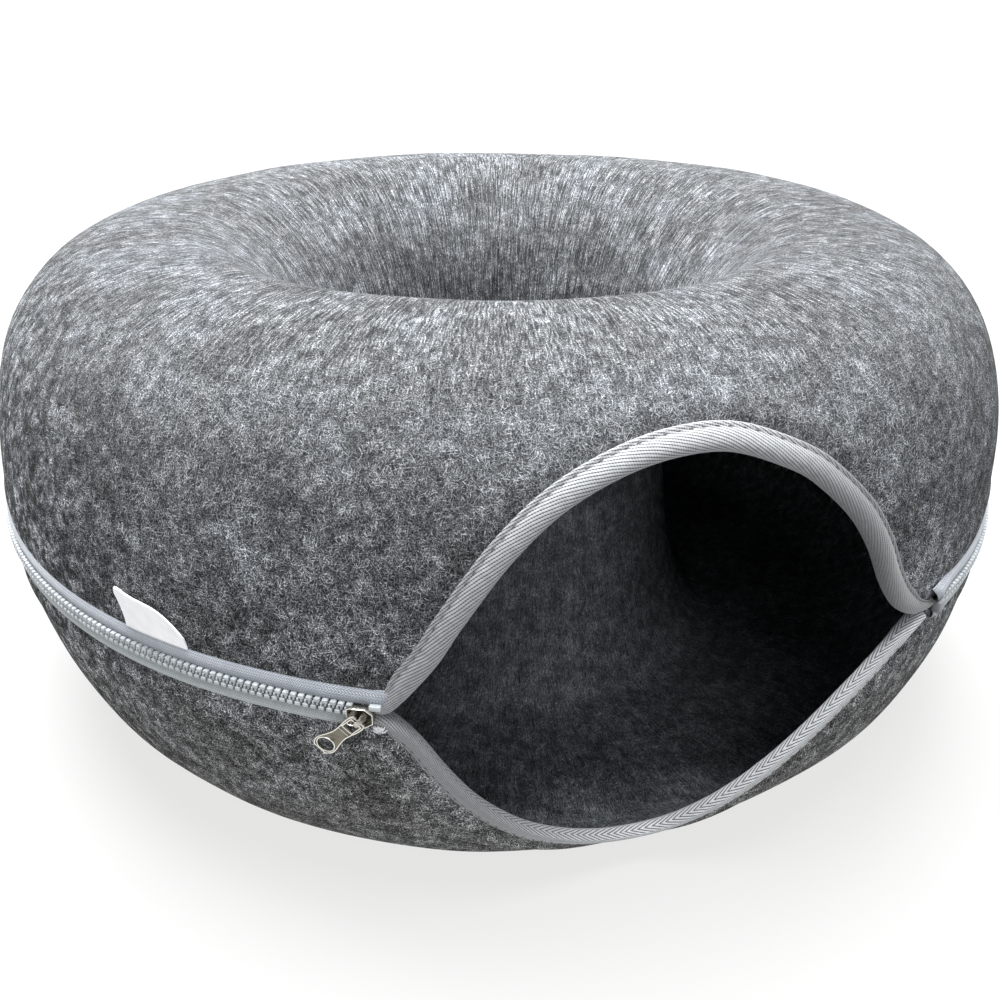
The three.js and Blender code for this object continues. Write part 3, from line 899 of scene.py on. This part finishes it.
upper_teeth = tooth_row("upper_teeth", CHAIN_TURNS[0], Matrix.Identity(4))
lower_teeth = tooth_row("lower_teeth", CHAIN_TURNS[0] + PITCH / ARC / 2, HALF_TURN)
tooth.free()

# %% [markdown]
# Moulded plastic is nearly one colour. What keeps it from looking like paint is a slightly uneven
# gloss and a faint change of tone from tooth to tooth.

# %% Plastic finish
def plastic_finish(name, colour, darker):
    finish = Finish(name)
    place = finish.node("ShaderNodeTexCoord", out=3)
    tone = finish.noise(place, 160.0, 2.0).between(0.3, 0.7)
    grain = finish.noise(place, 2600.0, 2.0)
    finish.feed(finish.shader.inputs["Base Color"], finish.mix(tone, darker, colour))
    finish.feed(finish.shader.inputs["Roughness"], 0.34 + 0.16 * grain)
    finish.bump(grain, 0.08 * MM, 0.4)
    return finish.material


grey_plastic = plastic_finish("grey_plastic", (0.37, 0.395, 0.415, 1), (0.285, 0.31, 0.326, 1))
settle(upper_teeth, grey_plastic, "zip_teeth", "zip_chain")
settle(lower_teeth, grey_plastic, "zip_teeth", "zip_chain")
print(grey_plastic.name, "on both rows")

# %% [markdown]
# ## Slider and pull
#
# The slider is a small cast tray with raised rims and a loop on top, and the pull hangs in the
# loop. Both start as an outline filled with one face. An inset gives the rim, a push down gives
# the hollow, and a bevel rounds what a casting would round. A fill that knows about holes makes
# the pull's plate with its window and its eye.

# %% Ways to shape a casting
SHARP = math.radians(40)


def rounded(bm, width):
    """Bevel the edges whose faces meet sharply."""
    bmesh.ops.recalc_face_normals(bm, faces=bm.faces)
    edges = [e for e in bm.edges if e.is_manifold and e.calc_face_angle(0) > SHARP]
    bmesh.ops.bevel(
        bm, geom=edges, offset=width, offset_type="OFFSET", affect="EDGES", segments=2,
        profile=0.5, material=-1, clamp_overlap=True)


def outline(rows):
    """A closed outline from places along it and half widths, in metres."""
    below = [(x * MM, -half * MM) for x, half in rows]
    return below + [(x, -y) for x, y in below[::-1]]


def highlight_by_height(bm, low, high):
    """Remember how far up the casting each vertex is: the raised parts get a painted highlight."""
    bright = bm.verts.layers.float.new("bright")
    for vert in bm.verts:
        vert[bright] = smooth_step(low, high, vert.co.z)


def lifted(bm, faces, height):
    """Pull faces up into a solid, and give back the faces on top."""
    risen = bmesh.ops.extrude_face_region(bm, geom=faces)["geom"]
    verts = [g for g in risen if isinstance(g, bmesh.types.BMVert)]
    bmesh.ops.translate(bm, verts=verts, vec=(0, 0, height))
    return [g for g in risen if isinstance(g, bmesh.types.BMFace)]


# %% Slider body
SLIDER_OUTLINE = [(-5, 3.4), (-3.7, 3.9), (2, 4.1), (4.9, 2.0)]
SLIDER_BOTTOM, SLIDER_FLOOR, SLIDER_RIM = 1.3 * MM, 2.9 * MM, 4.1 * MM
RIM_WIDTH, RIM_SLOPE = 0.5 * MM, 0.15 * MM

slider_body = bmesh.new()
corners = [slider_body.verts.new((x, y, SLIDER_BOTTOM)) for x, y in outline(SLIDER_OUTLINE)]
top = lifted(slider_body, [slider_body.faces.new(corners)], SLIDER_RIM - SLIDER_BOTTOM)
bmesh.ops.inset_region(slider_body, faces=top, thickness=RIM_WIDTH, use_even_offset=True)
bmesh.ops.inset_region(
    slider_body, faces=top, thickness=RIM_SLOPE, depth=SLIDER_FLOOR - SLIDER_RIM)
rounded(slider_body, 0.28 * MM)
highlight_by_height(slider_body, SLIDER_RIM - 0.5 * MM, SLIDER_RIM - 0.1 * MM)
print("slider body", len(slider_body.faces), "faces")

# %% Loop on the slider
LOOP_REACH, LOOP_WIDTH, LOOP_METAL = 3.6 * MM, 2.0 * MM, 1.1 * MM
LOOP_FOOT, LOOP_TOP = SLIDER_FLOOR - 0.2 * MM, 7.7 * MM
PULL_AIM = math.radians(-134)

pull_loop = bmesh.new()
across = LOOP_WIDTH / 2
foot = pull_loop.faces.new([
    pull_loop.verts.new((x, y, 0))
    for x, y in (
        (LOOP_REACH, -across), (LOOP_REACH, across),
        (LOOP_REACH - LOOP_METAL, across), (LOOP_REACH - LOOP_METAL, -across))
])
bmesh.ops.spin(
    pull_loop, geom=[foot, *foot.edges, *foot.verts], cent=(0, 0, 0), axis=(0, -1, 0),
    angle=math.pi, steps=14)
bmesh.ops.scale(pull_loop, verts=pull_loop.verts, vec=(1, 1, (LOOP_TOP - LOOP_FOOT) / LOOP_REACH))
rounded(pull_loop, 0.22 * MM)
highlight_by_height(pull_loop, 3.5 * MM, 6.5 * MM)
bmesh.ops.transform(
    pull_loop, verts=pull_loop.verts,
    matrix=Matrix.Translation((0, 0, LOOP_FOOT)) @ Matrix.Rotation(PULL_AIM, 4, "Z"))
print("loop", len(pull_loop.faces), "faces")

# %% Pull
PULL_OUTLINE = [
    (-0.8, 2.6), (0.6, 3.3), (4, 3.3), (8, 2.8), (11.8, 2.7), (15.6, 3.4), (18.6, 4.15),
    (21.6, 4.2), (24.3, 2.9),
]
PULL_WINDOW = [(1, 2.2), (6.4, 2.2)]
EYE_PLACE, EYE_RADIUS = 20.2 * MM, 3.3 * MM
PULL_METAL, PULL_DROP = 1.2 * MM, math.radians(9)
PULL_RIM, PULL_SLOPE, PULL_HOLLOW = 0.35 * MM, 0.12 * MM, 0.35 * MM


def ring_of_edges(bm, points):
    verts = [bm.verts.new((x, y, 0)) for x, y in points]
    return [bm.edges.new(pair) for pair in zip(verts, verts[1:] + verts[:1])]


pull_plate = bmesh.new()
side = through(np.array(PULL_OUTLINE), 4)
eye = [
    (EYE_PLACE + EYE_RADIUS * math.cos(a), EYE_RADIUS * math.sin(a))
    for a in np.linspace(0, 2 * math.pi, 28, endpoint=False)
]
rings = [
    edge for points in (outline(side), outline(PULL_WINDOW), eye)
    for edge in ring_of_edges(pull_plate, points)
]
filled = bmesh.ops.triangle_fill(pull_plate, edges=rings, use_beauty=True, normal=(0, 0, 1))["geom"]
flat = [g for g in filled if isinstance(g, bmesh.types.BMFace)]
top = lifted(pull_plate, flat, PULL_METAL)
bmesh.ops.inset_region(pull_plate, faces=top, thickness=PULL_RIM, use_even_offset=True)
bmesh.ops.inset_region(pull_plate, faces=top, thickness=PULL_SLOPE, depth=-PULL_HOLLOW)
rounded(pull_plate, 0.16 * MM)
soft_block(pull_plate, (8.5, -2.3, 0.6), (8.9, 2.3, 1.1), 0.1)
highlight_by_height(pull_plate, PULL_METAL - 0.3 * MM, PULL_METAL)
under_loop = LOOP_TOP - LOOP_METAL - GAP - PULL_METAL
bmesh.ops.transform(
    pull_plate, verts=pull_plate.verts,
    matrix=Matrix.Rotation(PULL_AIM, 4, "Z") @ Matrix.Translation((0, 0, under_loop))
    @ Matrix.Rotation(PULL_DROP, 4, "Y"))
print("pull", len(pull_plate.faces), "faces")

# %% Slider and pull in place
SLIDER_TURN, SLIDER_RISE = -26.5, -1.0 * MM
KEPT_SHARP = math.radians(35)


def gathered(*parts):
    """Several bmeshes in one."""
    whole = bmesh.new()
    for part in parts:
        spare = bpy.data.meshes.new("spare")
        part.to_mesh(spare)
        part.free()
        whole.from_mesh(spare)
        bpy.data.meshes.remove(spare)
    return whole


def on_zip(name, turn, *parts, rise=0.0):
    """A hard piece from its parts, moved to its place on the zip. Its sharp edges stay sharp."""
    bm = gathered(*parts)
    bmesh.ops.transform(bm, matrix=zip_frame(turn, rise), verts=bm.verts)
    piece = finished_mesh(name, bm)
    piece.data.set_sharp_from_angle(angle=KEPT_SHARP)
    return piece


slider = on_zip("slider", SLIDER_TURN, slider_body, pull_loop, rise=SLIDER_RISE)
pull = on_zip("pull", SLIDER_TURN, pull_plate, rise=SLIDER_RISE)
print("slider and pull at", SLIDER_TURN, "degrees")

# %% [markdown]
# Nickel plate is slightly warm. Its raised rims are painted bright, as a painted highlight, and its
# hollows are painted dark, as painted shade; fine scratches vary its gloss. Each vertex has kept its
# height on the casting, so the finish can tell a rim from a hollow.

# %% Nickel finish
# Painted highlight on the rims, and painted shade in the hollows
BRIGHT_METAL, DULL_METAL = (0.82, 0.8, 0.74, 1), (0.19, 0.175, 0.14, 1)
SHADED_METAL = (0.09, 0.08, 0.062, 1)


def nickel_finish(name):
    finish = Finish(name, metallic=1.0)
    place = finish.node("ShaderNodeTexCoord", out=3)
    wear_and_sheen = finish.noise(place, 900.0, 3.0, 0.6).between(0.35, 0.7)
    hollow_shade = finish.noise(place, 260.0, 2.0).between(0.45, 0.8)
    # painted shade in the hollows, painted highlight on the raised rims
    hollow = finish.mix(hollow_shade, DULL_METAL, SHADED_METAL)
    bright = finish.node("ShaderNodeAttribute", {"attribute_name": "bright"}, out=2)
    finish.feed(finish.shader.inputs["Base Color"], finish.mix(bright, hollow, BRIGHT_METAL))
    finish.feed(finish.shader.inputs["Roughness"], 0.2 + 0.14 * wear_and_sheen)
    finish.bump(wear_and_sheen, 0.03 * MM, 0.4)
    return finish.material


nickel = nickel_finish("nickel")
settle(slider, nickel, "zip_metal", "zip_slider")
settle(pull, nickel, "zip_metal", "zip_pull")
print(nickel.name, "on", slider.name, "and", pull.name)

# %% [markdown]
# ## Small plastic ends
#
# A stop is moulded on the upper tape just past the slider, and a rounded block at the other end of
# the zip holds the two rows together.

# %% Stop and end block
BOX_TURN, STOP_TURN = 30.2, -25.3

end_block = bmesh.new()
soft_block(end_block, (-3, -2.7, 0.4), (3, 2.7, 4.0), 0.9, segments=3)
end_box = on_zip("end_block", BOX_TURN, end_block)
stop_block = bmesh.new()
soft_block(stop_block, (-2.2, 2.0, 0.8), (2.2, 4.2, 3.0), 0.45, segments=2)
top_stop = on_zip("top_stop", STOP_TURN, stop_block)
dark_plastic = plastic_finish("dark_plastic", (0.17, 0.18, 0.19, 1), (0.11, 0.117, 0.125, 1))
settle(end_box, dark_plastic, "zip_teeth", "zip_box")
settle(top_stop, grey_plastic, "zip_teeth")
print("two plastic ends")

# %% [markdown]
# ## Side tab
#
# A small white tab is caught under the upper tape at the left. It leans off the felt as it rises,
# and its top corner curls. It is bare woven ribbon.

# %% Side tab
# Along the tab: turn, how far it rises over the tape, how far its top leans out
TAB_SECTIONS = np.array([
    (-49.6, 14.5, 3.5), (-49, 18.5, 4.5), (-47, 16.4, 4), (-45, 13.3, 3), (-43.3, 9, 2),
    (-42.4, 4, 0.8),
])
TAB_COLUMNS, TAB_ROWS = 40, 14
TAB_CLOTH, TAB_TUCK, TAB_OFF, TAB_RIPPLE = 0.5 * MM, 1.5 * MM, 0.9 * MM, 0.5 * MM

tab_columns = evenly(through(TAB_SECTIONS * (ARC, MM, MM)), TAB_COLUMNS + 1)


def tab_place(i, j):
    around, rise, curl = tab_columns[i]
    share = j / TAB_ROWS
    ripple = TAB_RIPPLE * math.sin(around * 260) * share
    foot = zip_height(around / ARC) + UPPER_TAPE[-1][0] * MM - TAB_TUCK
    height = foot + (rise + TAB_TUCK) * share
    return raised(around / ARC, height, TAB_OFF + ripple + curl * share**1.6)


def tab_flat(i, j):
    return (tab_columns[i][0] - tab_columns[0][0], (tab_columns[i][1] + TAB_TUCK) * j / TAB_ROWS)


tab_bm = grid_cloth(TAB_COLUMNS, TAB_ROWS, tab_place, tab_flat)
tab_middle = tab_place(TAB_COLUMNS // 2, TAB_ROWS // 2)
tab_out = Vector((tab_middle.x, tab_middle.y - AXIS_Y, 0)).normalized()
side_tab = thicken(
    finished_mesh("side_tab_cloth", tab_bm, tab_out, facing(tab_middle, tab_out)), TAB_CLOTH)
print("tab", len(side_tab.data.polygons), "faces")

# %% [markdown]
# The ribbon is a plain weave of fine white yarn. One sine runs along it and one up it, and their
# sum is a small check of bumps. A slow noise keeps the white from being one flat tone.

# %% Ribbon finish
RIBBON_WEAVE = 9000
SHADED_WHITE, CLEAN_WHITE = (0.74, 0.75, 0.77, 1), (0.86, 0.865, 0.87, 1)


def ribbon_finish(name):
    finish = Finish(name, roughness=0.6, sheen_weight=0.1)
    cloth = finish.node("ShaderNodeUVMap", {"uv_map": "cloth"})
    along, up, _ = finish.parts(cloth)
    weave = ((along * RIBBON_WEAVE).sine() + (up * RIBBON_WEAVE).sine()) * 0.25 + 0.5
    cloud = finish.noise(cloth, 180.0, 2.0).between(0.3, 0.7)
    finish.feed(finish.shader.inputs["Base Color"], finish.mix(
        weave * 0.5 + cloud * 0.5, SHADED_WHITE, CLEAN_WHITE))
    finish.bump(weave, 0.12 * MM, 0.6)
    return finish.material


settle(side_tab, ribbon_finish("white_ribbon"), "tab", "side_tab")

# %% [markdown]
# ## Sewing
#
# One row of lockstitch runs in the groove of each binding. A stitch is a short bead of thread that
# dips into the cloth at both ends: a ball with a few faces, drawn long. The thread is coloured
# nearly black, as painted shadow of the stitch holes.

# %% Stitches
STITCH, STITCH_GAP = 2.1 * MM, 2.7 * MM
THREAD_OUT, THREAD_WIDE, THREAD_HIGH = 0.46 * MM, 0.28 * MM, 0.22 * MM
UNSEWN_ENDS = 4


def stitched(name, path):
    """A row of stitches in the groove of a binding."""
    count = int(path.length / (STITCH + STITCH_GAP))
    places = []
    for at in np.linspace(0, STATIONS, count + 1)[UNSEWN_ENDS:-UNSEWN_ENDS]:
        i = int(at)
        here = path.place(i, GROOVE, THREAD_OUT).lerp(path.place(i + 1, GROOVE, THREAD_OUT), at - i)
        along = path.points[i + 1] - path.points[i]
        places.append(Matrix.Translation(here) @ along.to_track_quat("X", "Z").to_matrix().to_4x4())
    print(name, len(places), "stitches")
    return finished_mesh(name, copies(bead, places))


bead = bmesh.new()
bmesh.ops.create_uvsphere(
    bead, u_segments=6, v_segments=5, radius=1,
    matrix=Matrix.Diagonal((STITCH / 2, THREAD_WIDE, THREAD_HIGH, 1)))


def thread_finish(name, dark, light):
    finish = Finish(name, roughness=0.6, sheen_weight=0.15)
    place = finish.node("ShaderNodeTexCoord", out=3)
    twist = finish.noise(place, 3500.0, 1.0).between(0.3, 0.7)
    finish.feed(finish.shader.inputs["Base Color"], finish.mix(twist, dark, light))
    finish.bump(twist, 0.1 * MM, 0.6)
    return finish.material


# nearly black thread, as painted shadow of the stitch holes
thread_painted_shadow = thread_finish("thread_painted_shadow", (0.03, 0.032, 0.035, 1), (0.09, 0.093, 0.098, 1))
for name, path in (("upper_stitches", arch_path), ("lower_stitches", lip_path)):
    settle(stitched(name, path), thread_painted_shadow, "binding")

# %% [markdown]
# The lower tape is cut off under the slider, and its weave has frayed there into a small pale tuft.
# Each loose thread is a curve of a few points with a round bevel. The random numbers are seeded, so
# the tuft is the same every time.

# %% Loose threads
FRAY_TURN, FRAY_DROP = -25.2, 6.2 * MM
FRAYED_ENDS, THREAD_POINTS, THREAD_RADIUS = 36, 5, 0.13 * MM
chance = np.random.default_rng(7)

tuft = bpy.data.curves.new("loose_threads", "CURVE")
tuft.dimensions = "3D"
tuft.bevel_depth = THREAD_RADIUS
tuft.bevel_resolution = 1
tuft.use_fill_caps = True
for _ in range(FRAYED_ENDS):
    turn, rise = FRAY_TURN + chance.uniform(-0.4, 0.3), -FRAY_DROP + chance.uniform(-1.3, 0.9) * MM
    lean, fall = chance.uniform(-0.2, 0.6), chance.uniform(-1.2, 0.6) * MM
    spline = tuft.splines.new("POLY")
    spline.points.add(THREAD_POINTS - 1)
    for share, point in zip(np.linspace(0, 1, THREAD_POINTS), spline.points):
        stand = (1.2 + 1.6 * math.sin(math.pi * share)) * MM
        place = raised(turn + lean * share, zip_height(turn) + rise + fall * share**2, stand)
        point.co = (*place, 1)
loose_threads = bpy.data.objects.new("loose_threads", tuft)
scene.collection.objects.link(loose_threads)
pale_thread = thread_finish("pale_thread", (0.5, 0.52, 0.54, 1), (0.8, 0.82, 0.84, 1))
settle(loose_threads, pale_thread, "zip_tape")
print("loose threads:", len(tuft.splines))

# %% [markdown]
# ## Floor and light
#
# The bed stands on a light table, as such products do when their picture is taken: the floor glows
# softly, so that shadows on it stay pale, and lights the walls from below. One broad sun stands
# for a large soft box above the table and a little behind it, which makes the crest bright and
# lets the front wall fall off. A lamp overhead, a little to the front, passes the arch and lights
# the lower lip of the mouth. A weak window high at the front reaches the floor of the tunnel. The
# pale room fills in the rest, and its backdrop is white at the horizon, where the table ends.

# %% Floor
FLOOR_REACH = 30.0

floor_bm = bmesh.new()
bmesh.ops.create_grid(floor_bm, x_segments=1, y_segments=1, size=FLOOR_REACH)
floor = finished_mesh("floor", floor_bm, Vector((0, 0, 1)))
floor_finish = Finish(
    "light_table", roughness=0.9, emission_color=(0.76, 0.76, 0.755, 1), emission_strength=1.0)
floor_place = floor_finish.node("ShaderNodeTexCoord", out=3)
floor_finish.feed(floor_finish.shader.inputs["Base Color"], floor_finish.mix(
    floor_finish.noise(floor_place, 2.0, 2.0), (0.045, 0.045, 0.045, 1), (0.05, 0.05, 0.05, 1)))
floor.data.materials.append(floor_finish.material)
print("floor", 2 * FLOOR_REACH, "m across")

# %% Light
def soft_sun(name, energy, across, turned):
    """A sun with a disc some degrees across, turned from straight down by three angles."""
    data = bpy.data.lights.new(name, "SUN")
    data.energy = energy
    data.angle = math.radians(across)
    light = bpy.data.objects.new(name, data)
    light.matrix_world = Euler([math.radians(angle) for angle in turned]).to_matrix().to_4x4()
    scene.collection.objects.link(light)


soft_sun("soft_box", energy=13.8, across=40, turned=(-18, -1, 0))
soft_sun("lamp", energy=3.2, across=20, turned=(10, 0, 0))
soft_sun("window", energy=0.6, across=30, turned=(48, 0, 0))
print("lights:", ", ".join(light.name for light in bpy.data.lights))

# %% Room
AT_HORIZON, OVERHEAD = 1.05, 0.48


class Backdrop(Finish):
    """The room behind the table: a world's own shader, built with the same wires."""

    def __init__(self, name):
        scene.world = bpy.data.worlds.new(name)
        scene.world.use_nodes = True
        self.tree = scene.world.node_tree
        self.shader = self.tree.nodes["Background"]


room = Backdrop("room")
look_up = room.parts(room.node("ShaderNodeTexCoord"))[2]
room.feed(room.shader.inputs["Color"], (0.96, 0.98, 1.0, 1))
room.feed(
    room.shader.inputs["Strength"],
    AT_HORIZON - (AT_HORIZON - OVERHEAD) * look_up.between(0.1, 0.34))
scene.view_settings.view_transform = "Standard"
print("room", AT_HORIZON, "at the horizon and", OVERHEAD, "overhead")
